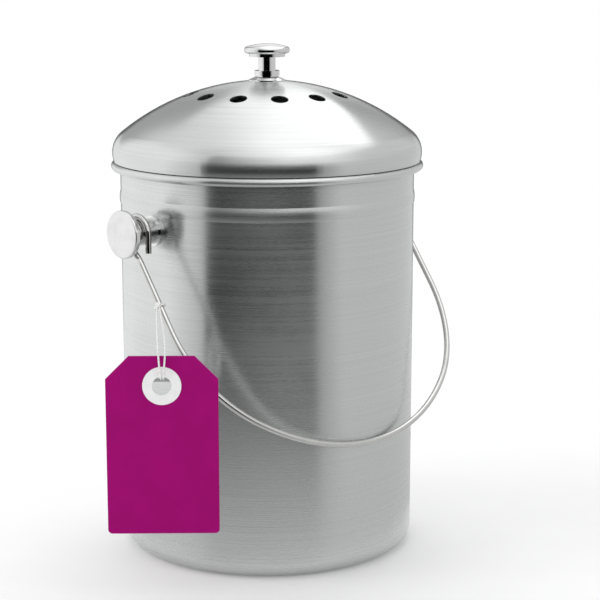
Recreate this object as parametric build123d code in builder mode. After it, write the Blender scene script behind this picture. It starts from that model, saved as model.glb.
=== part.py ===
"""Countertop compost caddy in stainless steel.

A straight-sided bucket with a rolled rim, a domed lift-off lid with a ring of vent holes
and a turned knob, a wire bail on two mushroom studs, and a round charcoal cartridge that
pushes up into the lid from below. A card tag hangs from the bail on a string.

Frame: +Z up, origin on the bucket's axis at the surface it stands on. The two bail studs
lie on the X axis, and the bail hangs towards -Y. Millimetres throughout.
"""
import os
from math import asin, atan2, cos, degrees, radians, sin, sqrt, tan

from build123d import *

# ---------------------------------------------------------------- bucket
SHEET = 0.8                 # gauge of the bucket and the lid
WALL_RADIUS = 86.0          # outside of the straight wall
CORNER_RADIUS = 9.3         # outside radius where the wall turns into the floor
FOOT_WIDTH = 7.0            # flat ring that the bucket stands on
FLOOR_LIFT = 1.5            # how far the floor inside that ring is raised
FLOOR_SLOPE_RUN = 4.0       # width of the slope from the foot ring up to the raised floor
RIM_HEIGHT = 226.1          # centre of the rolled rim
RIM_TUBE_RADIUS = 2.35      # radius of the roll
RIM_OVERHANG = 2.9          # roll centre, outside the wall
SWAGE_DROP = 18.4           # swaged bead's middle, below the roll centre
SWAGE_HEIGHT = 8.0
SWAGE_PROUD = 0.6

# ---------------------------------------------------------------- bail studs
PIVOT_DROP = 30.4           # stud axis, below the roll centre
STUD_WASHER_RADIUS = 8.6
STUD_WASHER_THICKNESS = 2.2
STUD_LENGTH = 17.7          # journal, from washer to cap
STUD_RADIUS = 7.3
STUD_CAP_RADIUS = 13.3
STUD_CAP_THICKNESS = 3.4
STUD_CAP_CROWN = 0.6        # how far the cap's face bulges at its middle
STUD_CAP_EDGE = 0.9
SCREW_RADIUS = 2.0
SCREW_HEAD_RADIUS = 3.9
SCREW_HEAD_THICKNESS = 2.2
SCREW_CLEARANCE = 0.15      # radial, in the holes that a screw passes through
STUD_SCREW_BITE = 9.0       # how far the screw reaches into the stud
INNER_WASHER_RADIUS = 6.0
INNER_WASHER_THICKNESS = 1.0

# ---------------------------------------------------------------- bail
BAIL_WIRE_RADIUS = 1.7
EYE_CLEARANCE = 0.1         # radial, eye on the stud
EYE_STANDOFF = 11.7         # eye's plane, outside the wall
LEG_JOG = 6.9               # straight leg's plane, outside the eye's plane
EYE_TAIL = 10.4             # straight cut end of the wire, hanging from the eye
EYE_SHANK = 13.0            # stud axis to the bend where the wire joins the leg
LEG_START = 22.0            # stud axis to the start of the straight leg
EYE_DROP = 9.7              # stud axis to the low bend behind the stud
BAIL_DEPTH = 149.0          # stud axis to the lowest point of the bow
BOW_CORNER_INSET = 24.6     # centre of each corner arc, from the middle plane
BOW_FLATTENING = 15.4       # bow's main radius, over the leg's half span
BAIL_REST_GAP = 0.45        # bow to wall, where it hangs against the bucket

# ---------------------------------------------------------------- lid
LID_SEAT_GAP = 0.3          # lid's underside over the roll
LID_OVERHANG = 1.6          # widest point of the lid, outside the roll's centre
LID_CORNER_RADIUS = 14.9
LID_CORNER_RISE = 4.85      # centre of the corner arc, over the lid's underside
CROWN_RADIUS = 136.2
COLLAR_CLEARANCE = 0.8      # radial, collar in the bucket's mouth
COLLAR_GAUGE = 0.8
COLLAR_DEPTH = 14.75
VENT_COUNT = 12
VENT_RADIUS = 5.0
VENT_CIRCLE_RADIUS = 44.8
VENT_PHASE = -93.7          # direction of the first vent, in degrees from +X

# ---------------------------------------------------------------- knob
KNOB_FLANGE_RADIUS = 10.7
KNOB_FLANGE_EDGE = 0.6
KNOB_NECK_RADIUS = 6.4
KNOB_NECK_LENGTH = 0.5      # straight neck, between the flange's cone and the collar
KNOB_NECK_TOP = 2.6         # heights over the crown's top
KNOB_COLLAR_RADIUS = 7.2
KNOB_COLLAR_TOP = 5.5
KNOB_STEM_RADIUS = 4.9
KNOB_STEM_LENGTH = 8.0
KNOB_UNDERDISC_RADIUS = 10.4
KNOB_UNDERDISC_THICKNESS = 1.9
KNOB_CAP_RADIUS = 13.1
KNOB_CAP_THICKNESS = 3.4
KNOB_CAP_CROWN = 2.2
KNOB_CAP_EDGE = 1.6
KNOB_WASHER_RADIUS = 8.0
KNOB_WASHER_THICKNESS = 1.0
KNOB_SCREW_BITE = 9.0       # how far the screw stands over the crown's top

# ---------------------------------------------------------------- filter cartridge
SOCKET_DROP = 0.95          # socket plate's top, below the lid's underside
SOCKET_PLATE = 0.8
SOCKET_SLEEVE_INSET = 7.3   # radial, sleeve's bore inside the collar's
SOCKET_LEDGE = 14.3         # radial width of the plate that shows inside the sleeve
SOCKET_SLEEVE_DEPTH = 8.0
SOCKET_SLEEVE_GAUGE = 0.8
CARTRIDGE_TOP_GAP = 0.3     # rim to socket plate
CARTRIDGE_SOCKET_GAP = 0.4  # radial, rim in sleeve
CARTRIDGE_RIM_HEIGHT = 7.2
CARTRIDGE_RIM_WALL = 1.6
CARTRIDGE_BACK = 0.8
GASKET_CLEARANCE = 0.1      # radial, gasket in sleeve
GASKET_HEIGHT = 2.0
GASKET_DEPTH = 0.8          # how deep the gasket's groove is cut into the rim
SPIGOT_STEP = 5.1           # radial, rim over spigot
SPIGOT_WALL = 0.8
SPIGOT_DEPTH = 6.0
COVER_FIT = 0.1             # radial, cover on spigot
COVER_WALL = 0.8
COVER_TOP_GAP = 0.3         # cover's edge, under the rim
COVER_DEPTH = 13.3
COVER_CHAMFER = 3.1
COVER_RING = 21.4           # radial width of the cover's face, round the window
PAD_CLEARANCE = 0.8         # radial, pad inside the cover's face
PAD_TOP_GAP = 0.5           # pad to the cartridge's back
BACK_HOLE_RADIUS = 4.0
BACK_RING_RADIUS = 20.0     # innermost ring of holes in the cartridge's back
BACK_RING_STEP = 16.0
BACK_RING_HOLES = 7         # on the innermost ring, and as many more on each next one
BACK_RING_COUNT = 3

# ---------------------------------------------------------------- hang tag
TAG_FACING = -42.7          # direction the card faces, in degrees from -Y towards +X
TAG_OUT = 111.0             # card's front, from the bucket's axis
TAG_ACROSS = -57.1          # card's middle, sideways
TAG_BOTTOM = 36.7
TAG_WIDTH = 60.8
TAG_HEIGHT = 99.4
TAG_THICKNESS = 0.8
TAG_TOP_CHAMFER = 12.7
TAG_CORNER_RADIUS = 2.4
EYELET_DROP = 16.5          # eyelet's middle, below the card's top edge
EYELET_RADIUS = 10.5
EYELET_BORE = 5.2
EYELET_TUBE = 0.7
EYELET_FLANGE = 0.4
TIE_DEPTH = 45.5            # tie on the bail's leg, from the stud axis
TIE_CLEARANCE = 0.3         # radial, tie's loop round the wire
TIE_THREAD_RADIUS = 0.6
TIE_KNOT_RADIUS = 1.4
TIE_KNOT_REACH = 3.9        # wire's middle to the knot's
TOGGLE_RADIUS = 1.0
TOGGLE_LENGTH = 15.0
TOGGLE_GAP = 0.2            # bar, behind the eyelet's flange
TOGGLE_RISE = 2.7           # bar's middle, over the eyelet's
STRING_RADIUS = 0.5

# ---------------------------------------------------------------- worked out from those
PIVOT_HEIGHT = RIM_HEIGHT - PIVOT_DROP
RIM_RADIUS = WALL_RADIUS + RIM_OVERHANG
RIM_TOP = RIM_HEIGHT + RIM_TUBE_RADIUS
MOUTH_RADIUS = WALL_RADIUS - SHEET
FOOT_RADIUS = WALL_RADIUS - CORNER_RADIUS
LID_BOTTOM = RIM_TOP + LID_SEAT_GAP
LID_RADIUS = RIM_RADIUS + LID_OVERHANG
LID_CORNER_X = LID_RADIUS - LID_CORNER_RADIUS
LID_CORNER_Z = LID_BOTTOM + LID_CORNER_RISE
CROWN_CENTRE = LID_CORNER_Z - sqrt((CROWN_RADIUS - LID_CORNER_RADIUS) ** 2 - LID_CORNER_X**2)
LID_TOP = CROWN_CENTRE + CROWN_RADIUS
COLLAR_RADIUS = MOUTH_RADIUS - COLLAR_CLEARANCE
EYE_RADIUS = STUD_RADIUS + EYE_CLEARANCE + BAIL_WIRE_RADIUS
LEG_X = WALL_RADIUS + EYE_STANDOFF + LEG_JOG
BAIL_TILT = asin((WALL_RADIUS + BAIL_WIRE_RADIUS + BAIL_REST_GAP) / BAIL_DEPTH)

parts = {}


def keep(name, builder):
    """Label a finished piece and keep it for export."""
    builder.part.label = name
    parts[name] = builder.part


def crown_height(radius, drop=0.0):
    """Height of the lid's crown, or of a surface that lies drop inside it."""
    return CROWN_CENTRE + sqrt((CROWN_RADIUS - drop) ** 2 - radius**2)


def crowned_disc(plane, base, radius, thickness, crown):
    """Half outline of a turned disc with a bulging face: its axis is the plane's own y axis."""
    face_height = base + thickness
    with BuildSketch(plane) as outline:
        with BuildLine():
            Polyline((0, base), (radius, base), (radius, face_height))
            ThreePointArc((radius, face_height), (radius / 2, face_height + 0.75 * crown), (0, face_height + crown))
            Line((0, face_height + crown), (0, base))
        make_face()
    return outline.sketch


# ================================================================ bucket
SWAGE_MIDDLE = RIM_HEIGHT - SWAGE_DROP
SWAGE_LOW = SWAGE_MIDDLE - SWAGE_HEIGHT / 2
SWAGE_HIGH = SWAGE_MIDDLE + SWAGE_HEIGHT / 2
FOOT_INNER = FOOT_RADIUS - FOOT_WIDTH
FLOOR_RADIUS = FOOT_INNER - FLOOR_SLOPE_RUN
CORNER_DIAGONAL = 1 - sqrt(0.5)


def corner_middle(inset):
    """Middle of the quarter round between wall and floor, inset from the outside."""
    radius = CORNER_RADIUS - inset
    return (WALL_RADIUS - inset - radius * CORNER_DIAGONAL, inset + radius * CORNER_DIAGONAL)


with BuildPart() as bucket_shell:
    with BuildSketch(Plane.XZ):
        with BuildLine():
            Polyline((0, FLOOR_LIFT), (FLOOR_RADIUS, FLOOR_LIFT), (FOOT_INNER, 0), (FOOT_RADIUS, 0))
            ThreePointArc((FOOT_RADIUS, 0), corner_middle(0), (WALL_RADIUS, CORNER_RADIUS))
            Line((WALL_RADIUS, CORNER_RADIUS), (WALL_RADIUS, SWAGE_LOW))
            ThreePointArc(
                (WALL_RADIUS, SWAGE_LOW), (WALL_RADIUS + SWAGE_PROUD, SWAGE_MIDDLE), (WALL_RADIUS, SWAGE_HIGH)
            )
            Polyline((WALL_RADIUS, SWAGE_HIGH), (WALL_RADIUS, RIM_HEIGHT), (RIM_RADIUS, RIM_HEIGHT), (RIM_RADIUS, RIM_TOP))
            RadiusArc(
                (RIM_RADIUS, RIM_TOP),
                (MOUTH_RADIUS, RIM_TOP - RIM_OVERHANG - SHEET),
                -(RIM_OVERHANG + SHEET),
            )
            Line((MOUTH_RADIUS, RIM_TOP - RIM_OVERHANG - SHEET), (MOUTH_RADIUS, SWAGE_HIGH))
            ThreePointArc(
                (MOUTH_RADIUS, SWAGE_HIGH), (MOUTH_RADIUS + SWAGE_PROUD, SWAGE_MIDDLE), (MOUTH_RADIUS, SWAGE_LOW)
            )
            Line((MOUTH_RADIUS, SWAGE_LOW), (MOUTH_RADIUS, CORNER_RADIUS))
            ThreePointArc((MOUTH_RADIUS, CORNER_RADIUS), corner_middle(SHEET), (FOOT_RADIUS, SHEET))
            Polyline(
                (FOOT_RADIUS, SHEET),
                (FOOT_INNER, SHEET),
                (FLOOR_RADIUS, FLOOR_LIFT + SHEET),
                (0, FLOOR_LIFT + SHEET),
                (0, FLOOR_LIFT),
            )
        make_face()
        with Locations((RIM_RADIUS, RIM_HEIGHT)):
            Circle(RIM_TUBE_RADIUS)
    revolve(axis=Axis.Z)
    with Locations(Location((0, 0, PIVOT_HEIGHT), (0, 90, 0))):
        Cylinder(SCREW_RADIUS + SCREW_CLEARANCE, 3 * WALL_RADIUS, mode=Mode.SUBTRACT)
keep("bucket_shell", bucket_shell)


# ================================================================ bail studs
STUD_BASE = WALL_RADIUS + STUD_WASHER_THICKNESS
STUD_END = STUD_BASE + STUD_LENGTH
SCREW_SEAT = MOUTH_RADIUS - INNER_WASHER_THICKNESS


def stud_plane(side, distance):
    """Plane square to the stud's axis, facing out, at a distance from the bucket's axis."""
    return Plane(origin=(side * distance, 0, PIVOT_HEIGHT), z_dir=(side, 0, 0))


def make_stud(side, hand):
    """The five pieces of one stud: two washers, the journal, its cap and its screw."""
    with BuildPart() as washer:
        with BuildSketch(stud_plane(side, STUD_BASE)):
            Circle(STUD_WASHER_RADIUS)
            Circle(SCREW_RADIUS + SCREW_CLEARANCE, mode=Mode.SUBTRACT)
        extrude(amount=-2 * STUD_WASHER_THICKNESS)
        with Locations((0, 0, PIVOT_HEIGHT)):
            Cylinder(WALL_RADIUS, 4 * STUD_WASHER_RADIUS, mode=Mode.SUBTRACT)
    keep(f"stud_washer_{hand}", washer)

    with BuildPart() as journal:
        with BuildSketch(stud_plane(side, STUD_BASE)):
            Circle(STUD_RADIUS)
        extrude(amount=STUD_LENGTH)
        with BuildSketch(stud_plane(side, STUD_BASE)):
            Circle(SCREW_RADIUS)
        extrude(amount=STUD_SCREW_BITE, mode=Mode.SUBTRACT)
    keep(f"stud_journal_{hand}", journal)

    turning_plane = Plane(origin=(0, 0, PIVOT_HEIGHT), x_dir=(0, 0, 1), z_dir=(0, side, 0))
    disc = crowned_disc(turning_plane, STUD_END, STUD_CAP_RADIUS, STUD_CAP_THICKNESS, STUD_CAP_CROWN)
    with BuildPart() as cap:
        revolve(disc, axis=Axis((0, 0, PIVOT_HEIGHT), (1, 0, 0)))
        fillet(cap.edges().filter_by(GeomType.CIRCLE), STUD_CAP_EDGE)
    keep(f"stud_cap_{hand}", cap)

    with BuildPart() as screw:
        with BuildSketch(stud_plane(side, SCREW_SEAT)):
            Circle(SCREW_HEAD_RADIUS)
        extrude(amount=-SCREW_HEAD_THICKNESS)
        rim = screw.edges().filter_by(GeomType.CIRCLE).sort_by(Axis.X)[0 if side > 0 else -1]
        fillet(rim, SCREW_HEAD_THICKNESS / 3)
        with BuildSketch(stud_plane(side, SCREW_SEAT)):
            Circle(SCREW_RADIUS)
        extrude(amount=STUD_BASE + STUD_SCREW_BITE - SCREW_SEAT)
    keep(f"stud_screw_{hand}", screw)

    with BuildPart() as inner_washer:
        with BuildSketch(stud_plane(side, SCREW_SEAT)):
            Circle(INNER_WASHER_RADIUS)
            Circle(SCREW_RADIUS + SCREW_CLEARANCE, mode=Mode.SUBTRACT)
        extrude(amount=2 * INNER_WASHER_THICKNESS)
        with Locations((0, 0, PIVOT_HEIGHT)):
            Cylinder(MOUTH_RADIUS, 4 * INNER_WASHER_RADIUS, mode=Mode.INTERSECT)
    keep(f"stud_inner_washer_{hand}", inner_washer)


make_stud(-1, "left")
make_stud(1, "right")


# ================================================================ bail
EYE_X = WALL_RADIUS + EYE_STANDOFF
BOW_RADIUS = LEG_X + BOW_FLATTENING
BOW_CORNER_RADIUS = LEG_X - BOW_CORNER_INSET
BOW_CENTRE = BAIL_DEPTH - BOW_RADIUS
BOW_CORNER_CENTRE = BOW_CENTRE + sqrt((BOW_RADIUS - BOW_CORNER_RADIUS) ** 2 - BOW_CORNER_INSET**2)
BOW_JOIN = atan2(BOW_CORNER_INSET, BOW_CORNER_CENTRE - BOW_CENTRE)     # from the middle plane


def on_bail(x, depth):
    """Point of the bail's own plane: x along the stud axis, depth square to it."""
    return (x, -depth * sin(BAIL_TILT), PIVOT_HEIGHT - depth * cos(BAIL_TILT))


def on_corner(angle):
    """Point of the left corner arc, at an angle from the downward direction."""
    return on_bail(
        -BOW_CORNER_INSET - BOW_CORNER_RADIUS * sin(angle), BOW_CORNER_CENTRE + BOW_CORNER_RADIUS * cos(angle)
    )


quarter = radians(90)
eye_front = (-EYE_X, -EYE_RADIUS, PIVOT_HEIGHT)
eye_back = (-EYE_X, EYE_RADIUS, PIVOT_HEIGHT)
with BuildPart() as bail_wire:
    with BuildLine() as route:
        tail = Line((-EYE_X, -EYE_RADIUS, PIVOT_HEIGHT - EYE_TAIL), eye_front)
        ThreePointArc(eye_front, (-EYE_X, 0, PIVOT_HEIGHT + EYE_RADIUS), eye_back)
        FilletPolyline(
            eye_back,
            (-EYE_X, EYE_RADIUS, PIVOT_HEIGHT - EYE_DROP),
            on_bail(-LEG_X, EYE_SHANK),
            on_bail(-LEG_X, LEG_START),
            radius=[EYE_RADIUS, 7 * BAIL_WIRE_RADIUS],
        )
        Line(on_bail(-LEG_X, LEG_START), on_corner(quarter))
        ThreePointArc(on_corner(quarter), on_corner((quarter + BOW_JOIN) / 2), on_corner(BOW_JOIN))
        half_bow = on_bail(-BOW_RADIUS * sin(BOW_JOIN / 2), BOW_CENTRE + BOW_RADIUS * cos(BOW_JOIN / 2))
        ThreePointArc(on_corner(BOW_JOIN), half_bow, on_bail(0, BAIL_DEPTH))
        mirror(about=Plane.YZ)
    with BuildSketch(Plane(origin=tail @ 0, z_dir=tail % 0)):
        Circle(BAIL_WIRE_RADIUS)
    sweep()
keep("bail_wire", bail_wire)


# ================================================================ lid
CROWN_END = atan2(LID_CORNER_X, LID_CORNER_Z - CROWN_CENTRE)     # where crown and corner meet
COLLAR_INNER = COLLAR_RADIUS - COLLAR_GAUGE


def crown_point(angle, drop):
    """Point of the crown's arc, at an angle from the axis, drop inside the outside."""
    radius = CROWN_RADIUS - drop
    return (radius * sin(angle), CROWN_CENTRE + radius * cos(angle))


def lid_corner_point(angle, drop):
    """Point of the lid's corner arc, at an angle from the upward direction."""
    radius = LID_CORNER_RADIUS - drop
    return (LID_CORNER_X + radius * sin(angle), LID_CORNER_Z + radius * cos(angle))


def lid_lip_angle(drop):
    """Angle at which the corner arc reaches the lid's flat underside."""
    return quarter + asin((LID_CORNER_RISE - drop) / (LID_CORNER_RADIUS - drop))


def lid_arcs(drop):
    """The three points of the crown arc and those of the corner arc, from the axis out."""
    lip = lid_lip_angle(drop)
    crown = [crown_point(share * CROWN_END, drop) for share in (0, 0.5, 1)]
    corner = [lid_corner_point(CROWN_END + share * (lip - CROWN_END), drop) for share in (0, 0.5, 1)]
    return crown, corner


with BuildPart() as lid_shell:
    outer_crown, outer_corner = lid_arcs(0)
    inner_crown, inner_corner = lid_arcs(SHEET)
    with BuildSketch(Plane.XZ):
        with BuildLine():
            ThreePointArc(*outer_crown)
            ThreePointArc(*outer_corner)
            Polyline(
                outer_corner[-1],
                (COLLAR_INNER, LID_BOTTOM),
                (COLLAR_INNER, LID_BOTTOM + SHEET),
                inner_corner[-1],
            )
            ThreePointArc(*inner_corner)
            ThreePointArc(*inner_crown)
            Line(inner_crown[0], outer_crown[0])
        make_face()
    revolve(axis=Axis.Z)
    vent_slope = asin(VENT_CIRCLE_RADIUS / CROWN_RADIUS)
    vent_planes = []
    for k in range(VENT_COUNT):
        heading = radians(VENT_PHASE + 360 / VENT_COUNT * k)
        normal = Vector(sin(vent_slope) * cos(heading), sin(vent_slope) * sin(heading), cos(vent_slope))
        vent_planes.append(Plane(origin=Vector(0, 0, CROWN_CENTRE) + normal * CROWN_RADIUS, z_dir=normal))
    with Locations(*vent_planes):
        Cylinder(VENT_RADIUS, 6 * SHEET, mode=Mode.SUBTRACT)
    with Locations((0, 0, LID_TOP)):
        Cylinder(SCREW_RADIUS + SCREW_CLEARANCE, 6 * SHEET, mode=Mode.SUBTRACT)
keep("lid_shell", lid_shell)

with BuildPart() as lid_collar:
    with BuildSketch(Plane.XY.offset(LID_BOTTOM)):
        Circle(COLLAR_RADIUS)
        Circle(COLLAR_INNER, mode=Mode.SUBTRACT)
    extrude(amount=-COLLAR_DEPTH)
keep("lid_collar", lid_collar)


# ================================================================ knob
KNOB_COLLAR_SEAT = LID_TOP + KNOB_NECK_TOP
KNOB_STEM_BASE = LID_TOP + KNOB_COLLAR_TOP
KNOB_STEM_TOP = KNOB_STEM_BASE + KNOB_STEM_LENGTH
KNOB_CAP_BASE = KNOB_STEM_TOP + KNOB_UNDERDISC_THICKNESS
KNOB_BORE = SCREW_RADIUS + SCREW_CLEARANCE

with BuildPart() as knob_base:
    flange_edge = crown_height(KNOB_FLANGE_RADIUS)
    with BuildSketch(Plane.XZ):
        with BuildLine():
            ThreePointArc(
                (KNOB_BORE, crown_height(KNOB_BORE)),
                (KNOB_FLANGE_RADIUS / 2, crown_height(KNOB_FLANGE_RADIUS / 2)),
                (KNOB_FLANGE_RADIUS, flange_edge),
            )
            Polyline(
                (KNOB_FLANGE_RADIUS, flange_edge),
                (KNOB_FLANGE_RADIUS, flange_edge + KNOB_FLANGE_EDGE),
                (KNOB_NECK_RADIUS, KNOB_COLLAR_SEAT - KNOB_NECK_LENGTH),
                (KNOB_NECK_RADIUS, KNOB_COLLAR_SEAT),
                (KNOB_COLLAR_RADIUS, KNOB_COLLAR_SEAT),
                (KNOB_COLLAR_RADIUS, KNOB_STEM_BASE),
                (KNOB_BORE, KNOB_STEM_BASE),
                (KNOB_BORE, crown_height(KNOB_BORE)),
            )
        make_face()
    revolve(axis=Axis.Z)
keep("knob_base", knob_base)

with BuildPart() as knob_stem:
    with BuildSketch(Plane.XY.offset(KNOB_STEM_BASE)):
        Circle(KNOB_STEM_RADIUS)
    extrude(amount=KNOB_STEM_LENGTH)
    with BuildSketch(Plane.XY.offset(KNOB_STEM_BASE)):
        Circle(SCREW_RADIUS)
    extrude(amount=LID_TOP + KNOB_SCREW_BITE - KNOB_STEM_BASE, mode=Mode.SUBTRACT)
keep("knob_stem", knob_stem)

knob_disc = crowned_disc(Plane.XZ, KNOB_CAP_BASE, KNOB_CAP_RADIUS, KNOB_CAP_THICKNESS, KNOB_CAP_CROWN)
with BuildPart() as knob_cap:
    revolve(knob_disc, axis=Axis.Z)
    fillet(knob_cap.edges().filter_by(GeomType.CIRCLE), KNOB_CAP_EDGE)
    with BuildSketch(Plane.XY.offset(KNOB_STEM_TOP)):
        Circle(KNOB_UNDERDISC_RADIUS)
    extrude(amount=KNOB_UNDERDISC_THICKNESS)
keep("knob_cap", knob_cap)

KNOB_WASHER_TOP = crown_height(KNOB_WASHER_RADIUS, SHEET)
with BuildPart() as knob_washer:
    with BuildSketch(Plane.XY.offset(KNOB_WASHER_TOP)):
        Circle(KNOB_WASHER_RADIUS)
        Circle(KNOB_BORE, mode=Mode.SUBTRACT)
    extrude(amount=-KNOB_WASHER_THICKNESS)
keep("knob_washer", knob_washer)

with BuildPart() as knob_screw:
    with BuildSketch(Plane.XY.offset(KNOB_WASHER_TOP - KNOB_WASHER_THICKNESS)):
        Circle(SCREW_HEAD_RADIUS)
    extrude(amount=-SCREW_HEAD_THICKNESS)
    fillet(knob_screw.edges().filter_by(GeomType.CIRCLE).sort_by(Axis.Z)[0], SCREW_HEAD_THICKNESS / 3)
    with BuildSketch(Plane.XY.offset(KNOB_WASHER_TOP - KNOB_WASHER_THICKNESS)):
        Circle(SCREW_RADIUS)
    extrude(amount=LID_TOP + KNOB_SCREW_BITE - KNOB_WASHER_TOP + KNOB_WASHER_THICKNESS)
keep("knob_screw", knob_screw)


# ================================================================ filter cartridge
SOCKET_TOP = LID_BOTTOM - SOCKET_DROP
SOCKET_UNDERSIDE = SOCKET_TOP - SOCKET_PLATE
SLEEVE_BORE = COLLAR_INNER - SOCKET_SLEEVE_INSET
SOCKET_OPENING_RADIUS = SLEEVE_BORE - SOCKET_LEDGE
CARTRIDGE_RADIUS = SLEEVE_BORE - CARTRIDGE_SOCKET_GAP
SPIGOT_RADIUS = CARTRIDGE_RADIUS - SPIGOT_STEP
RIM_BACK = SOCKET_UNDERSIDE - CARTRIDGE_TOP_GAP
RIM_FRONT = RIM_BACK - CARTRIDGE_RIM_HEIGHT
COVER_BORE = SPIGOT_RADIUS + COVER_FIT
COVER_RADIUS = COVER_BORE + COVER_WALL
COVER_EDGE = RIM_FRONT - COVER_TOP_GAP
COVER_FACE = COVER_EDGE - COVER_DEPTH
COVER_FACE_RADIUS = COVER_RADIUS - COVER_CHAMFER
WINDOW_RADIUS = COVER_FACE_RADIUS - COVER_RING
PAD_RADIUS = COVER_FACE_RADIUS - COVER_WALL - PAD_CLEARANCE

with BuildPart() as filter_socket:
    with BuildSketch(Plane.XY.offset(SOCKET_TOP)):
        Circle(COLLAR_INNER)
        Circle(SOCKET_OPENING_RADIUS, mode=Mode.SUBTRACT)
    extrude(amount=-SOCKET_PLATE)
    with BuildSketch(Plane.XY.offset(SOCKET_UNDERSIDE)):
        Circle(SLEEVE_BORE + SOCKET_SLEEVE_GAUGE)
        Circle(SLEEVE_BORE, mode=Mode.SUBTRACT)
    extrude(amount=-SOCKET_SLEEVE_DEPTH)
keep("filter_socket", filter_socket)

GASKET_GROOVE_RADIUS = CARTRIDGE_RADIUS - GASKET_DEPTH
GASKET_TOP = (RIM_BACK + RIM_FRONT + GASKET_HEIGHT) / 2

with BuildPart() as cartridge_base:
    with BuildSketch(Plane.XY.offset(RIM_BACK)):
        Circle(CARTRIDGE_RADIUS)
    extrude(amount=-CARTRIDGE_RIM_HEIGHT)
    with BuildSketch(Plane.XY.offset(RIM_BACK - CARTRIDGE_BACK)):
        Circle(GASKET_GROOVE_RADIUS - CARTRIDGE_RIM_WALL)
    extrude(amount=-CARTRIDGE_RIM_HEIGHT + 2 * CARTRIDGE_BACK, mode=Mode.SUBTRACT)
    with BuildSketch(Plane.XY.offset(RIM_FRONT + CARTRIDGE_BACK)):
        Circle(SPIGOT_RADIUS - SPIGOT_WALL)
    extrude(amount=-CARTRIDGE_BACK, mode=Mode.SUBTRACT)
    with BuildSketch(Plane.XY.offset(RIM_FRONT)):
        Circle(SPIGOT_RADIUS)
        Circle(SPIGOT_RADIUS - SPIGOT_WALL, mode=Mode.SUBTRACT)
    extrude(amount=-SPIGOT_DEPTH)
    with BuildSketch(Plane.XY.offset(GASKET_TOP)):
        Circle(CARTRIDGE_RADIUS + SHEET)
        Circle(GASKET_GROOVE_RADIUS, mode=Mode.SUBTRACT)
    extrude(amount=-GASKET_HEIGHT, mode=Mode.SUBTRACT)
    with BuildSketch(Plane.XY.offset(RIM_BACK)):
        for ring in range(BACK_RING_COUNT):
            with PolarLocations(BACK_RING_RADIUS + ring * BACK_RING_STEP, BACK_RING_HOLES * (ring + 1)):
                Circle(BACK_HOLE_RADIUS)
    extrude(amount=-CARTRIDGE_BACK, mode=Mode.SUBTRACT)
keep("cartridge_base", cartridge_base)

with BuildPart() as cartridge_gasket:
    with BuildSketch(Plane.XY.offset(GASKET_TOP)):
        Circle(SLEEVE_BORE - GASKET_CLEARANCE)
        Circle(GASKET_GROOVE_RADIUS, mode=Mode.SUBTRACT)
    extrude(amount=-GASKET_HEIGHT)
keep("cartridge_gasket", cartridge_gasket)

with BuildPart() as cartridge_cover:
    with BuildSketch(Plane.XZ):
        with BuildLine():
            Polyline(
                (WINDOW_RADIUS, COVER_FACE),
                (COVER_FACE_RADIUS, COVER_FACE),
                (COVER_RADIUS, COVER_FACE + COVER_CHAMFER),
                (COVER_RADIUS, COVER_EDGE),
                (COVER_BORE, COVER_EDGE),
                (COVER_BORE, COVER_FACE + COVER_CHAMFER + COVER_WALL / 2),
                (COVER_FACE_RADIUS - COVER_WALL / 2, COVER_FACE + COVER_WALL),
                (WINDOW_RADIUS, COVER_FACE + COVER_WALL),
                close=True,
            )
        make_face()
    revolve(axis=Axis.Z)
keep("cartridge_cover", cartridge_cover)

with BuildPart() as charcoal_pad:
    with BuildSketch(Plane.XY.offset(COVER_FACE + COVER_WALL)):
        Circle(PAD_RADIUS)
    extrude(amount=RIM_BACK - CARTRIDGE_BACK - PAD_TOP_GAP - COVER_FACE - COVER_WALL)
keep("charcoal_pad", charcoal_pad)


# ================================================================ hang tag
TAG_PLANE = Plane(
    origin=(0, 0, 0),
    x_dir=(cos(radians(TAG_FACING)), sin(radians(TAG_FACING)), 0),
    z_dir=(sin(radians(TAG_FACING)), -cos(radians(TAG_FACING)), 0),
)
TAG_TOP = TAG_BOTTOM + TAG_HEIGHT
EYELET_HEIGHT = TAG_TOP - EYELET_DROP
TAG_BACK = TAG_OUT - TAG_THICKNESS


def at_tag(across, out, height):
    """Point seen from the side the card faces: across it, out from the bucket's axis, height."""
    return TAG_PLANE.from_local_coords(Vector(across, height, out))


with BuildPart() as tag_card:
    with BuildSketch(TAG_PLANE.offset(TAG_OUT)) as card_outline:
        with Locations((TAG_ACROSS, TAG_BOTTOM + TAG_HEIGHT / 2)):
            Rectangle(TAG_WIDTH, TAG_HEIGHT)
        corners = card_outline.vertices().sort_by(Axis.Y)
        chamfer(corners[2:], TAG_TOP_CHAMFER)
        fillet(card_outline.vertices().sort_by(Axis.Y)[:2], TAG_CORNER_RADIUS)
        with Locations((TAG_ACROSS, EYELET_HEIGHT)):
            Circle(EYELET_BORE + EYELET_TUBE, mode=Mode.SUBTRACT)
    extrude(amount=-TAG_THICKNESS)
keep("tag_card", tag_card)

with BuildPart() as tag_eyelet:
    for start, depth, radius in (
        (TAG_OUT + EYELET_FLANGE, EYELET_FLANGE, EYELET_RADIUS),
        (TAG_OUT, TAG_THICKNESS, EYELET_BORE + EYELET_TUBE),
        (TAG_BACK, EYELET_FLANGE, EYELET_RADIUS),
    ):
        with BuildSketch(TAG_PLANE.offset(start)):
            with Locations((TAG_ACROSS, EYELET_HEIGHT)):
                Circle(radius)
                Circle(EYELET_BORE, mode=Mode.SUBTRACT)
        extrude(amount=-depth)
keep("tag_eyelet", tag_eyelet)

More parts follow.
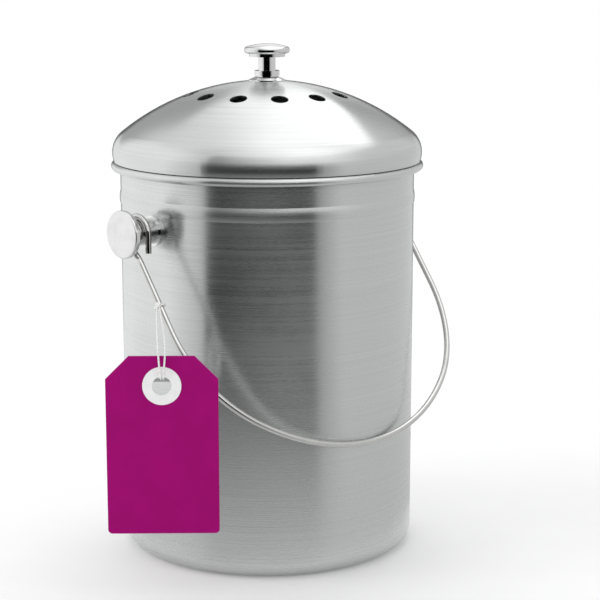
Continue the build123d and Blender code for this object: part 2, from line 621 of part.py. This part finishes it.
wire_point = Vector(*on_bail(-LEG_X, TIE_DEPTH))
wire_run = (wire_point - Vector(*on_bail(-LEG_X, 0))).normalized()
facing = Vector(sin(radians(TAG_FACING)), -cos(radians(TAG_FACING)), 0)
knot_side = (facing - wire_run * facing.dot(wire_run)).normalized()
knot_point = wire_point + knot_side * TIE_KNOT_REACH
with BuildPart() as tag_tie:
    with BuildSketch(Plane(origin=wire_point, z_dir=wire_run)):
        Circle(BAIL_WIRE_RADIUS + TIE_CLEARANCE + 2 * TIE_THREAD_RADIUS)
        Circle(BAIL_WIRE_RADIUS + TIE_CLEARANCE, mode=Mode.SUBTRACT)
    extrude(amount=TIE_THREAD_RADIUS, both=True)
    with BuildSketch(Plane(origin=knot_point, z_dir=knot_side)):
        Circle(TIE_KNOT_RADIUS)
    extrude(amount=TIE_KNOT_RADIUS, both=True)
keep("tag_tie", tag_tie)

toggle_out = TAG_BACK - EYELET_FLANGE - TOGGLE_GAP - TOGGLE_RADIUS
toggle_point = at_tag(TAG_ACROSS - TOGGLE_LENGTH / 2, toggle_out, EYELET_HEIGHT + TOGGLE_RISE)
with BuildPart() as tag_toggle:
    with BuildSketch(Plane(origin=toggle_point, z_dir=TAG_PLANE.x_dir)):
        Circle(TOGGLE_RADIUS)
    extrude(amount=TOGGLE_LENGTH)
    fillet(tag_toggle.edges().filter_by(GeomType.CIRCLE), 0.6 * TOGGLE_RADIUS)
keep("tag_toggle", tag_toggle)


def tag_string(name, route):
    """One leg of the string, along straight runs and tangent arcs, as thick as the string."""
    points = [at_tag(*stop) for stop in route]
    radii = []
    for before, corner, after in zip(points, points[1:], points[2:]):
        turn = radians((corner - before).get_angle(after - corner))
        shorter = min((corner - before).length, (after - corner).length)
        radii.append(0.45 * shorter / tan(turn / 2))
    print(name, "radii, mm:", [round(radius, 1) for radius in radii])
    with BuildPart() as string:
        with BuildLine() as run:
            FilletPolyline(*points, radius=radii)
        with BuildSketch(Plane(origin=run.wire() @ 0, z_dir=run.wire() % 0)):
            Circle(STRING_RADIUS)
        sweep()
    keep(name, string)


tag_string(
    "tag_string_left",
    [
        (-60.0, 94.3, 160.2),
        (-60.0, 99.5, 153.6),
        (-59.5, 106.0, 146.2),
        (-58.8, 112.3, 138.6),
        (-58.2, 113.4, 130.4),
        (-57.8, 112.9, 124.9),
        (-57.7, 110.2, 123.0),
        (-57.7, 108.6, 122.7),
    ],
)
tag_string(
    "tag_string_right",
    [
        (-58.8, 94.3, 160.0),
        (-57.3, 99.3, 153.2),
        (-55.6, 105.6, 146.0),
        (-54.9, 111.9, 138.6),
        (-55.6, 113.4, 130.4),
        (-56.2, 112.9, 124.9),
        (-56.3, 110.2, 123.0),
        (-56.3, 108.6, 122.7),
    ],
)


# ================================================================ export
os.makedirs("parts", exist_ok=True)
for name, solid in parts.items():
    export_step(solid, f"parts/{name}.step")
print("bail tilt at rest, degrees:", round(degrees(BAIL_TILT), 2))
print("lid top, knob top:", round(LID_TOP, 2), round(KNOB_CAP_BASE + KNOB_CAP_THICKNESS + KNOB_CAP_CROWN, 2))
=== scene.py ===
"""The looks of the compost caddy: brushed and polished steel, a card tag on its string, a foam pad.

Everything is in metres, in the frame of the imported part: +Z up, origin under the bucket's middle.
"""

from math import cos, pi, radians, sin

import bpy
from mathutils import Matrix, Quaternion, Vector, noise


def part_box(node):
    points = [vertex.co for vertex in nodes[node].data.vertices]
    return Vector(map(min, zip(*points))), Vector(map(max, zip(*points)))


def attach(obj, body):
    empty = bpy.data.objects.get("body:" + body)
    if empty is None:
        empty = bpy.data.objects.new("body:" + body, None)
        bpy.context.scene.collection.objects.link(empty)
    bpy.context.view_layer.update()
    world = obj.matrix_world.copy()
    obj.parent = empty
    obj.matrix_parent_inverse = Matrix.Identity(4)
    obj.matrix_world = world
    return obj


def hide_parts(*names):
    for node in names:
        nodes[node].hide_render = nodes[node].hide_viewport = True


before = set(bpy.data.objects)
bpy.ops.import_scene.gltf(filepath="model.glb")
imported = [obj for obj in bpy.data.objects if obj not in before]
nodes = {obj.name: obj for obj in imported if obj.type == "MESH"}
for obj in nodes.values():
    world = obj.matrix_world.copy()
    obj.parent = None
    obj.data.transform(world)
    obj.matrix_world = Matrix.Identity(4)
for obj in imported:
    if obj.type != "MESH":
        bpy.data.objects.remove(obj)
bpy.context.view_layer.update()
scene = bpy.context.scene

# ---------------------------------------------------------------- camera
FOCAL_LENGTH = 106.32       # mm, on a sensor of the width below
SENSOR_WIDTH = 36.0
CAMERA_DISTANCE = 1.0363    # from the bucket's axis, measured level
CAMERA_HEIGHT = 0.3506
FACING = radians(-42.7)     # the picture's right, turned from the frame's +X
YAW = radians(1.06)         # how far right of the axis the camera looks
PITCH = radians(11.26)      # how far down it looks

right = Vector((cos(FACING), sin(FACING), 0))
away = Vector((-sin(FACING), cos(FACING), 0))
look = (right * sin(YAW) + away * cos(YAW)) * cos(PITCH) - Vector((0, 0, sin(PITCH)))

camera_data = bpy.data.cameras.new("camera")
camera_data.lens = FOCAL_LENGTH
camera_data.sensor_width = SENSOR_WIDTH
camera = bpy.data.objects.new("camera", camera_data)
camera.location = -away * CAMERA_DISTANCE + Vector((0, 0, CAMERA_HEIGHT))
camera.rotation_mode = "QUATERNION"
camera.rotation_quaternion = look.to_track_quat("-Z", "Y")
scene.collection.objects.link(camera)
scene.camera = camera


def at_tag(across, out, height):
    """Point seen from the side the card faces, from millimetres: across, out from the axis, up."""
    return (right * across - away * out + Vector((0, 0, height))) / 1000


# ---------------------------------------------------------------- string
STRING_RADIUS = 0.0005
STRINGS = {
    "tag_string_left": [
        (-60.0, 94.3, 160.2),
        (-60.0, 99.5, 153.6),
        (-59.5, 106.0, 146.2),
        (-58.8, 112.3, 138.6),
        (-58.2, 113.4, 130.4),
        (-57.8, 112.9, 124.9),
        (-57.7, 110.2, 123.0),
        (-57.7, 108.6, 122.7),
    ],
    "tag_string_right": [
        (-58.8, 94.3, 160.0),
        (-57.3, 99.3, 153.2),
        (-55.6, 105.6, 146.0),
        (-54.9, 111.9, 138.6),
        (-55.6, 113.4, 130.4),
        (-56.2, 112.9, 124.9),
        (-56.3, 110.2, 123.0),
        (-56.3, 108.6, 122.7),
    ],
}


def add_route(curve, stops):
    """Lay one smooth spline along the stops. Each point's radius is the string's own, because Blender
    grows a curve's box by it."""
    curve.dimensions = "3D"
    spline = curve.splines.new("NURBS")
    spline.points.add(len(stops) - 1)
    for point, stop in zip(spline.points, stops):
        point.co = (*at_tag(*stop), 1)
        point.radius = STRING_RADIUS
    spline.order_u = 3
    spline.use_endpoint_u = True
    return spline


def string_curve(name, stops):
    """A smooth round string along the stops, as thick as its points' radius says."""
    curve = bpy.data.curves.new(name, "CURVE")
    add_route(curve, stops)
    curve.resolution_u = 12
    curve.bevel_depth = 1.0
    curve.bevel_resolution = 4
    curve.use_fill_caps = True
    made = bpy.data.objects.new(name, curve)
    scene.collection.objects.link(made)
    return made


def measured(stops):
    """Length of the smooth spline along the stops."""
    return add_route(bpy.data.curves.new("probe", "CURVE"), stops).calc_length()


string_pieces = []
for name, stops in STRINGS.items():
    piece = string_curve(name.replace("tag_string", "string_strand"), stops)
    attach(piece, "tag")
    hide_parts(name)
    measured(stops)
    string_pieces.append(piece)


# ---------------------------------------------------------------- material tools
def rgb(red, green, blue):
    return (red, green, blue, 1.0)


class Graph:
    """The node tree of a material or a world, with short calls to add and join nodes."""

    def __init__(self, owner):
        owner.use_nodes = True
        self.owner = owner
        self.tree = owner.node_tree
        self.shader = self.tree.nodes.get("Principled BSDF")

    def add(self, kind, **settings):
        node = self.tree.nodes.new(kind)
        for key, value in settings.items():
            setattr(node, key, value)
        return node

    def join(self, source, target):
        self.tree.links.new(source, target)

    def feed(self, socket, value):
        """Join a socket, or set a constant on it."""
        if isinstance(value, bpy.types.NodeSocket):
            self.join(value, socket)
        else:
            socket.default_value = value

    def place(self, kind="Object"):
        return self.add("ShaderNodeTexCoord").outputs[kind]

    def math(self, operation, a, b=0.0):
        node = self.add("ShaderNodeMath", operation=operation)
        self.feed(node.inputs[0], a)
        self.feed(node.inputs[1], b)
        return node.outputs[0]

    def vector(self, operation, a, b=(0, 0, 0)):
        node = self.add("ShaderNodeVectorMath", operation=operation)
        self.feed(node.inputs[0], a)
        self.feed(node.inputs[1], b)
        return node.outputs["Value" if operation in ("LENGTH", "DOT_PRODUCT") else "Vector"]

    def combine(self, x, y, z=0.0):
        node = self.add("ShaderNodeCombineXYZ")
        for socket, value in zip(node.inputs, (x, y, z)):
            self.feed(socket, value)
        return node.outputs[0]

    def noise(self, where, scale, detail=3.0, roughness=0.5, w=None):
        node = self.add("ShaderNodeTexNoise", noise_dimensions="3D" if w is None else "4D")
        self.feed(node.inputs["Vector"], where)
        node.inputs["Scale"].default_value = scale
        node.inputs["Detail"].default_value = detail
        node.inputs["Roughness"].default_value = roughness
        if w is not None:
            self.feed(node.inputs["W"], w)
        return node.outputs["Fac"]

    def span(self, value, low, high, to_low=0.0, to_high=1.0, smooth=False):
        """Map a stretch of values onto another, clamped."""
        node = self.add("ShaderNodeMapRange", interpolation_type="SMOOTHSTEP" if smooth else "LINEAR")
        self.feed(node.inputs["Value"], value)
        for key, number in zip(("From Min", "From Max", "To Min", "To Max"), (low, high, to_low, to_high)):
            node.inputs[key].default_value = number
        return node.outputs["Result"]

    def blend(self, share, a, b):
        """Mix two colours. A colour mix has its two colours on sockets 6 and 7, and gives them on 2."""
        node = self.add("ShaderNodeMix", data_type="RGBA")
        self.feed(node.inputs["Factor"], share)
        self.feed(node.inputs[6], a)
        self.feed(node.inputs[7], b)
        return node.outputs[2]

    def bump(self, height, strength, distance, under=None):
        node = self.add("ShaderNodeBump")
        self.feed(node.inputs["Height"], height)
        node.inputs["Strength"].default_value = strength
        node.inputs["Distance"].default_value = distance
        if under is not None:
            self.join(under, node.inputs["Normal"])
        return node.outputs["Normal"]

    def glow(self, strength):
        """White light of some strength."""
        node = self.add("ShaderNodeEmission")
        node.inputs["Color"].default_value = rgb(1, 1, 1)
        self.feed(node.inputs["Strength"], strength)
        return node.outputs[0]

    def shown(self):
        """1 where the camera, a reflection or glass sees it, 0 where it only lights the object."""
        path = self.add("ShaderNodeLightPath")
        seen = self.math("MAXIMUM", path.outputs["Is Camera Ray"], path.outputs["Is Glossy Ray"])
        return self.math("MAXIMUM", seen, path.outputs["Is Transmission Ray"])

    def surface(self, shader):
        """Put a shader on the material's output in place of the first one."""
        output = next(node for node in self.tree.nodes if node.type == "OUTPUT_MATERIAL")
        self.join(shader, output.inputs["Surface"])

    def finish(self, **inputs):
        """Feed the material's own shader by its sockets' names, and give the material."""
        for key, value in inputs.items():
            socket = key.replace("_", " ").title().replace("Ior", "IOR")
            self.feed(self.shader.inputs[socket], value)
        return self.owner


def material_graph(name):
    return Graph(bpy.data.materials.new(name))


# ---------------------------------------------------------------- steel
SCRATCH_SHADE = 0.93        # tone of a scratch, as a share of the sheet's
SMEAR_SHADE = 0.9           # tone of a fingerprint, as a share of the polish's
GRAIN = 2200.0              # noise cells to the metre, across the brushing
BRUSHED_ANISOTROPY = 0.82


def turned_grain(g, across, round_it):
    """Streaks that run round the Z axis, from the noise cells to the metre across them and round it."""
    parts = g.add("ShaderNodeSeparateXYZ")
    g.join(g.place(), parts.inputs[0])
    x, y, z = parts.outputs
    radius = g.vector("LENGTH", g.combine(x, y))
    where = g.combine(
        g.math("MULTIPLY", x, round_it),
        g.math("MULTIPLY", y, round_it),
        g.math("MULTIPLY", radius, across),
    )
    return g.noise(where, 1.0, 3.0, 0.6, w=g.math("MULTIPLY", z, across))


def brushed_steel(name, tint, roughness, grain=GRAIN):
    """Satin sheet steel with fine scratches running round it, faint smudges and streaks."""
    g = material_graph(name)
    fine = turned_grain(g, grain, 7.0)
    coarse = turned_grain(g, grain / 4, 4.0)
    smudge = g.noise(g.place(), 14.0, 4.0, 0.55)
    streaks = g.math("ADD", g.math("MULTIPLY", fine, 0.75), g.math("MULTIPLY", coarse, 0.25))
    dull = tuple(SCRATCH_SHADE * channel for channel in tint)
    colour = g.blend(g.span(streaks, 0.38, 0.62), rgb(*dull), rgb(*tint))
    rough = g.span(streaks, 0.3, 0.7, roughness + 0.04, roughness - 0.04)
    rough = g.math("ADD", rough, g.span(smudge, 0.35, 0.7, -0.02, 0.03))
    tangent = g.add("ShaderNodeTangent", direction_type="RADIAL", axis="Z")
    return g.finish(
        base_color=colour,
        metallic=1.0,
        roughness=rough,
        anisotropic=BRUSHED_ANISOTROPY,
        anisotropic_rotation=0.25,
        tangent=tangent.outputs[0],
        normal=g.bump(fine, 0.035, 0.00003),
    )


def polished_steel(name, tint=(0.73, 0.735, 0.73), roughness=0.07, metallic=1.0):
    """Mirror-polished steel with hairline scratches and faint fingerprints. Dust on it lowers metallic."""
    g = material_graph(name)
    where = g.place()
    smears = g.noise(where, 120.0, 5.0, 0.6)
    hairs = g.noise(g.vector("MULTIPLY", where, (1.0, 4.0, 9.0)), 420.0, 2.0)
    rough = g.math("ADD", g.span(smears, 0.4, 0.75, 0.0, 0.07), g.span(hairs, 0.4, 0.7, 0.0, 0.04))
    rough = g.math("ADD", rough, roughness)
    dull = tuple(SMEAR_SHADE * channel for channel in tint)
    colour = g.blend(g.span(smears, 0.45, 0.7), rgb(*tint), rgb(*dull))
    return g.finish(
        base_color=colour,
        metallic=metallic,
        roughness=rough,
        normal=g.bump(hairs, 0.06, 0.00005),
    )


# ---------------------------------------------------------------- card, plastic, string, rubber, foam
CARD_INK = rgb(0.330, 0.000, 0.150)
CARD_INK_PALE = rgb(0.360, 0.000, 0.165)
CARD_FIBRE = rgb(0.40, 0.005, 0.19)
CARD_CORE = rgb(0.62, 0.40, 0.52)


def printed_card():
    """Coloured card: pressed fibres, a little mottle, and the pale core showing at the cut edges."""
    g = material_graph("printed_card")
    where = g.place()
    fibres = g.noise(g.vector("MULTIPLY", where, (1.0, 1.0, 0.35)), 2600.0, 4.0, 0.65)
    mottle = g.noise(where, 60.0, 3.0)
    face = g.vector("DOT_PRODUCT", g.place("Normal"), tuple(-away))
    edge = g.span(g.math("ABSOLUTE", face), 0.55, 0.85, 1.0, 0.0)
    ink = g.blend(g.span(mottle, 0.35, 0.65), CARD_INK, CARD_INK_PALE)
    ink = g.blend(g.span(fibres, 0.62, 0.8, 0.0, 0.2), ink, CARD_FIBRE)
    return g.finish(
        base_color=g.blend(edge, ink, CARD_CORE),
        roughness=g.span(fibres, 0.3, 0.7, 0.5, 0.65),
        specular_ior_level=0.08,
        normal=g.bump(fibres, 0.18, 0.00006),
    )


def plastic(name, light, dark):
    """Smooth moulding with a little dust and flow texture."""
    g = material_graph(name)
    where = g.place()
    flow = g.noise(where, 260.0, 3.0)
    dust = g.noise(where, 1500.0, 2.0)
    return g.finish(
        base_color=g.blend(g.span(flow, 0.35, 0.7), rgb(*light), rgb(*dark)),
        roughness=g.span(dust, 0.35, 0.7, 0.28, 0.42),
        normal=g.bump(flow, 0.08, 0.0001),
    )


def white_string():
    """Twisted cotton: slanting plies, with painted shade darkening the grooves between them, and loose
    fibres.
    """
    g = material_graph("white_string")
    where = g.place()
    plies = g.add("ShaderNodeTexWave", wave_type="BANDS", bands_direction="DIAGONAL")
    g.join(where, plies.inputs["Vector"])
    plies.inputs["Scale"].default_value = 260.0
    plies.inputs["Distortion"].default_value = 1.2
    fibres = g.noise(where, 4200.0, 3.0)
    twist = g.bump(plies.outputs["Fac"], 0.5, 0.00015)
    return g.finish(
        # Painted shade: the low grooves between the plies take the darker colour, the raised plies the
        # lighter one.
        base_color=g.blend(plies.outputs["Fac"], rgb(0.74, 0.74, 0.73), rgb(0.88, 0.88, 0.88)),
        roughness=g.span(fibres, 0.3, 0.7, 0.8, 0.95),
        normal=g.bump(fibres, 0.3, 0.00005, twist),
    )


def rubber():
    """Black rubber with a fine matt speckle."""
    g = material_graph("gasket_rubber")
    speck = g.noise(g.place(), 900.0, 4.0)
    return g.finish(
        base_color=g.blend(g.span(speck, 0.3, 0.7), rgb(0.018, 0.018, 0.019), rgb(0.035, 0.035, 0.036)),
        roughness=g.span(speck, 0.3, 0.7, 0.55, 0.75),
        normal=g.bump(speck, 0.2, 0.0001),
    )


def charcoal_foam():
    """Open foam loaded with carbon: pits and struts, with painted shade darkening the pits, and a dusting
    of grey.
    """
    g = material_graph("charcoal_foam")
    where = g.place()
    cells = g.add("ShaderNodeTexVoronoi", feature="F1")
    g.join(where, cells.inputs["Vector"])
    cells.inputs["Scale"].default_value = 900.0
    pits = cells.outputs["Distance"]
    dust = g.noise(where, 180.0, 4.0)
    # Painted shade: the sunken pits take the darkest colour and the raised struts a lighter one.
    colour = g.blend(g.span(pits, 0.1, 0.6), rgb(0.010, 0.010, 0.011), rgb(0.034, 0.034, 0.035))
    colour = g.blend(g.span(dust, 0.5, 0.8, 0.0, 0.35), colour, rgb(0.06, 0.06, 0.062))
    return g.finish(
        base_color=colour,
        roughness=g.span(dust, 0.3, 0.7, 0.85, 1.0),
        normal=g.bump(pits, 0.8, 0.0006),
    )


# ---------------------------------------------------------------- materials on the CAD nodes
SHEET_TINT = (0.645, 0.658, 0.655)
INNER_TINT = (0.59, 0.60, 0.595)
CARTRIDGE_TINT = (0.68, 0.675, 0.66)
WIRE_TINT = (0.62, 0.62, 0.61)


def dress(material, *names):
    """Put a material on CAD nodes in place of their own."""
    for name in names:
        mesh = nodes[name].data
        mesh.materials.clear()
        mesh.materials.append(material)


dress(brushed_steel("brushed_sheet", SHEET_TINT, 0.27), "bucket_shell")
dress(brushed_steel("lid_sheet", SHEET_TINT, 0.24, grain=2600.0), "lid_shell")
dress(brushed_steel("inner_sheet", INNER_TINT, 0.34, grain=1800.0), "lid_collar", "filter_socket")
chrome = polished_steel("polished_steel")
cap_steel = polished_steel("cap_steel", roughness=0.1, metallic=0.8)
screw_steel = polished_steel("screw_steel", WIRE_TINT, 0.22)
dress(chrome, "knob_base", "knob_stem", "knob_cap")
dress(polished_steel("wire_steel", WIRE_TINT, 0.08), "bail_wire")
for hand in ("left", "right"):
    dress(chrome, f"stud_washer_{hand}", f"stud_journal_{hand}")
    dress(cap_steel, f"stud_cap_{hand}")
    dress(screw_steel, f"stud_screw_{hand}", f"stud_inner_washer_{hand}")
dress(screw_steel, "knob_washer", "knob_screw")
cartridge_steel = brushed_steel("cartridge_steel", CARTRIDGE_TINT, 0.27, grain=2600.0)
dress(cartridge_steel, "cartridge_base", "cartridge_cover")
dress(rubber(), "cartridge_gasket")
dress(printed_card(), "tag_card")
dress(plastic("white_plastic", (0.93, 0.93, 0.93), (0.86, 0.86, 0.87)), "tag_eyelet")
dress(plastic("grey_plastic", (0.36, 0.36, 0.37), (0.31, 0.31, 0.32)), "tag_toggle")
cotton = white_string()
dress(cotton, "tag_tie")
for piece in string_pieces:
    piece.data.materials.append(cotton)


# ---------------------------------------------------------------- foam pad
FOAM_AROUND = 144           # points round the pad
FOAM_ACROSS = 27            # steps from its middle to its edge
FOAM_EDGE_STEPS = 6         # steps round each rolled edge
FOAM_EDGE_SHARE = 0.35      # radius of the edge, as a share of half the pad's thickness
FOAM_DIMPLE = 0.00035


def foam_rings(radius, half):
    """Radius and height of each ring of the pad, from its top face round its edge to its bottom face."""
    edge = FOAM_EDGE_SHARE * half
    flat = radius - edge
    upper = [(flat * k / FOAM_ACROSS, half) for k in range(1, FOAM_ACROSS + 1)]
    for step in range(1, FOAM_EDGE_STEPS):
        turn = step * pi / 2 / FOAM_EDGE_STEPS
        upper.append((flat + edge * sin(turn), half - edge + edge * cos(turn)))
    return upper + [(ring, -height) for ring, height in reversed(upper)]


def foam_pad():
    """A disc of open foam: soft rolled edge, dimpled faces, a rough skin."""
    low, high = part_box("charcoal_pad")
    middle = (low.z + high.z) / 2
    half = (high.z - low.z) / 2
    rings = foam_rings((high.x - low.x) / 2, half)
    verts = [(0, 0, middle + half)]
    for ring, height in rings:
        for k in range(FOAM_AROUND):
            angle = 2 * pi * k / FOAM_AROUND
            verts.append((ring * cos(angle), ring * sin(angle), middle + height))
    verts.append((0, 0, middle - half))
    last = len(verts) - 1
    faces = []
    for k in range(FOAM_AROUND):
        after = (k + 1) % FOAM_AROUND
        faces.append((0, 1 + k, 1 + after))
        faces.append((last, last - FOAM_AROUND + after, last - FOAM_AROUND + k))
        for ring in range(len(rings) - 1):
            a = 1 + ring * FOAM_AROUND
            b = a + FOAM_AROUND
            faces.append((a + k, b + k, b + after, a + after))
    mesh = bpy.data.meshes.new("foam_pad")
    mesh.from_pydata(verts, [], faces)
    for vertex in mesh.vertices:
        place = vertex.co.copy()
        rough = noise.noise(place * 420) + 0.5 * noise.noise(place * 1100)
        inward = Vector((-place.x, -place.y, middle - place.z)).normalized()
        vertex.co = place + inward * FOAM_DIMPLE * (rough + 1.0)
    mesh.update()
    for polygon in mesh.polygons:
        polygon.use_smooth = True
    made = bpy.data.objects.new("foam_pad", mesh)
    scene.collection.objects.link(made)
    mesh.materials.append(charcoal_foam())
    return made


pad = foam_pad()
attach(pad, "filter_cover")
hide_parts("charcoal_pad")


# ---------------------------------------------------------------- studio
FLOOR_REACH = 60.0
FLOOR_FADE = (0.22, 0.75)   # distances from the axis where the floor starts and ends turning plain white
FLOOR_LIFT = 0.12
WORLD_AS_LIGHT = 0.75       # strength of the world as light on the object, where 1 is what is seen

FOOT_TONE = 0.66            # plain tone of the flats close to the object
OVERHEAD_TONE = 1.36        # plain tone of the flat straight over it
SKIRTING = 0.002            # height of the lowest flat over the floor
FLAT_TURN = 2               # degrees from one column of a flat to the next
FLAT_REACH = 2.2            # distance of the upright flats
FLAT_STEP = 0.6             # height where the round flat ends and the middle one starts
FLAT_SHOULDER = (1.9, 2.0)  # distance and height where the middle flat ends and the one overhead starts

# Bands of the flats: degrees from the camera's side towards its right, and tone.
ROUND_BANDS = [
    (-180, 0.1), (-162, 0.1), (-159, 0.9), (-130, 1.1), (-80, 1.1), (-48, 0.65), (-46, 0.0),
    (34, 0.0), (38, 0.35), (56, 0.7), (157, 0.75), (162, 0.1), (180, 0.1),
]
MIDDLE_BANDS = [
    (-180, 1.0), (-175, 0.9), (-170, 0.4), (-150, 0.45), (-135, 1.1), (-75, 1.15), (-46, 0.8), (-44, 0.3),
    (16, 1.15), (45, 1.15), (80, 0.8), (140, 0.8), (160, 0.4), (167, 0.45), (174, 1.0), (180, 1.0),
]
OVER_BANDS = [
    (-180, 1.4), (-155, 1.0), (-90, 1.0), (-64, 0.8), (-45, 1.0), (35, 1.65), (65, 1.65), (105, 1.2),
    (130, 1.4), (180, 1.4),
]
ROUND_OUTLINE = [
    (0.115, SKIRTING, 0.0), (0.26, SKIRTING, 0.22), (0.38, SKIRTING, 0.55), (0.52, SKIRTING, 1.0),
    (FLAT_REACH, SKIRTING, 1.0), (FLAT_REACH, FLAT_STEP, 1.0),
]
MIDDLE_OUTLINE = [(FLAT_REACH, FLAT_STEP, 1.0), (*FLAT_SHOULDER, 1.0)]
OVER_OUTLINE = [(*FLAT_SHOULDER, 1.0), (1.0, 2.5, 1.0), (0.01, 2.6, 0.0)]


def from_camera(angle, distance, height):
    """Point round the object at an angle from the camera's side, in degrees towards its right."""
    turn = radians(angle)
    spot = (right * sin(turn) - away * cos(turn)) * distance
    return Vector((spot.x, spot.y, height))


def floor_material():
    """Pale floor near the object, fading to the plain white of the backdrop further out."""
    g = material_graph("floor")
    distance = g.vector("LENGTH", g.vector("MULTIPLY", g.place(), (1, 1, 0)))
    far = g.math("MULTIPLY", g.span(distance, *FLOOR_FADE, smooth=True), g.shown())
    speck = g.noise(g.place(), 30.0, 3.0)
    g.finish(
        base_color=g.blend(speck, rgb(0.80, 0.80, 0.80), rgb(0.83, 0.83, 0.83)),
        roughness=0.9,
        specular_ior_level=0.0,
    )
    lift = g.add("ShaderNodeAddShader")
    g.join(g.shader.outputs[0], lift.inputs[0])
    g.join(g.glow(FLOOR_LIFT), lift.inputs[1])
    mix = g.add("ShaderNodeMixShader")
    g.join(far, mix.inputs[0])
    g.join(lift.outputs[0], mix.inputs[1])
    g.join(g.glow(1.0), mix.inputs[2])
    g.surface(mix.outputs[0])
    return g.owner


def pale_floor():
    """A wide square of floor under the object, which isn't part of it."""
    reach = FLOOR_REACH
    mesh = bpy.data.meshes.new("floor")
    corners = [(-reach, -reach, 0), (reach, -reach, 0), (reach, reach, 0), (-reach, reach, 0)]
    mesh.from_pydata(corners, [], [(0, 1, 2, 3)])
    mesh.materials.append(floor_material())
    floor = bpy.data.objects.new("floor", mesh)
    scene.collection.objects.link(floor)


def pale_world():
    """White where it is seen, and a little weaker as light on the object."""
    world = bpy.data.worlds.new("world")
    scene.world = world
    g = Graph(world)
    background = g.tree.nodes["Background"]
    background.inputs["Color"].default_value = rgb(1, 1, 1)
    g.join(g.span(g.shown(), 0.0, 1.0, WORLD_AS_LIGHT, 1.0), background.inputs["Strength"])


def glowing(name, verts, faces, tones):
    """A glowing mesh that only reflections see, with a tone at each corner."""
    mesh = bpy.data.meshes.new(name)
    mesh.from_pydata(verts, [], faces)
    tone_at = mesh.attributes.new("tone", "FLOAT", "POINT")
    for slot, tone in zip(tone_at.data, tones):
        slot.value = tone
    g = material_graph(name)
    g.surface(g.glow(g.add("ShaderNodeAttribute", attribute_name="tone").outputs["Fac"]))
    mesh.materials.append(g.owner)
    made = bpy.data.objects.new(name, mesh)
    scene.collection.objects.link(made)
    for flag in ("visible_camera", "visible_diffuse", "visible_transmission", "visible_shadow"):
        setattr(made, flag, False)


def studio_flat(name, bands, outline, plain=FOOT_TONE):
    """A curved studio flat seen only in reflections. Its bands are (angle, tone) pairs. Its outline is
    (distance, height, share) points, where the share mixes the band's tone with one plain tone."""
    start, end = bands[0][0], bands[-1][0]
    steps = (end - start) // FLAT_TURN
    verts, tones, faces = [], [], []
    for k in range(steps + 1):
        angle = start + FLAT_TURN * k
        low, high = next((a, b) for a, b in zip(bands, bands[1:]) if angle <= b[0])
        tone = low[1] + (high[1] - low[1]) * (angle - low[0]) / (high[0] - low[0])
        for distance, height, share in outline:
            verts.append(from_camera(angle, distance, height))
            tones.append(tone * share + plain * (1 - share))
    count = len(outline)
    for k in range(steps):
        for j in range(count - 1):
            corner = k * count + j
            faces.append((corner, corner + count, corner + count + 1, corner + 1))
    glowing(name, verts, faces, tones)


def studio_panel(name, where, target, size, roll, tones):
    """A flat square that glows in reflections, facing its target and rolled by an angle in degrees. Its
    tones go round its corners."""
    facing = Vector(target) - Vector(where)
    turn = facing.to_track_quat("-Z", "Y") @ Quaternion((0, 0, 1), radians(roll))
    half = size / 2
    corners = [(-half, -half), (half, -half), (half, half), (-half, half)]
    verts = [Vector(where) + turn @ Vector((x, y, 0)) for x, y in corners]
    glowing(name, verts, [(0, 1, 2, 3)], tones)


def softbox(name, where, target, size, watts):
    """A soft lamp that reflections don't see."""
    data = bpy.data.lights.new(name, "AREA")
    data.shape = "RECTANGLE"
    data.size, data.size_y = size
    data.energy = watts
    lamp = bpy.data.objects.new(name, data)
    scene.collection.objects.link(lamp)
    lamp.location = where
    lamp.rotation_mode = "QUATERNION"
    lamp.rotation_quaternion = (Vector(target) - Vector(where)).to_track_quat("-Z", "Y")
    lamp.visible_glossy = False


LID_MIDDLE = (0, 0, 0.25)
WALL_MIDDLE = (0, 0, 0.15)

pale_floor()
nodes["tag_card"].visible_glossy = False
studio_flat("flat_round", ROUND_BANDS, ROUND_OUTLINE)
studio_flat("flat_middle", MIDDLE_BANDS, MIDDLE_OUTLINE)
studio_flat("flat_over", OVER_BANDS, OVER_OUTLINE, OVERHEAD_TONE)
studio_panel(
    "panel_behind",
    from_camera(172, 0.8, 1.63),
    LID_MIDDLE,
    size=1.45,
    roll=40,
    tones=(1.9, 0.75, 1.45, 1.9),
)
softbox("softbox_top", from_camera(172, 0.7, 1.6), LID_MIDDLE, size=(1.1, 1.1), watts=9)
softbox("softbox_left", from_camera(-75, 1.4, 0.9), WALL_MIDDLE, size=(1.1, 1.6), watts=8)
softbox("softbox_right", from_camera(62, 1.5, 0.8), WALL_MIDDLE, size=(0.25, 1.2), watts=1.5)
pale_world()

scene.view_settings.view_transform = "Standard"
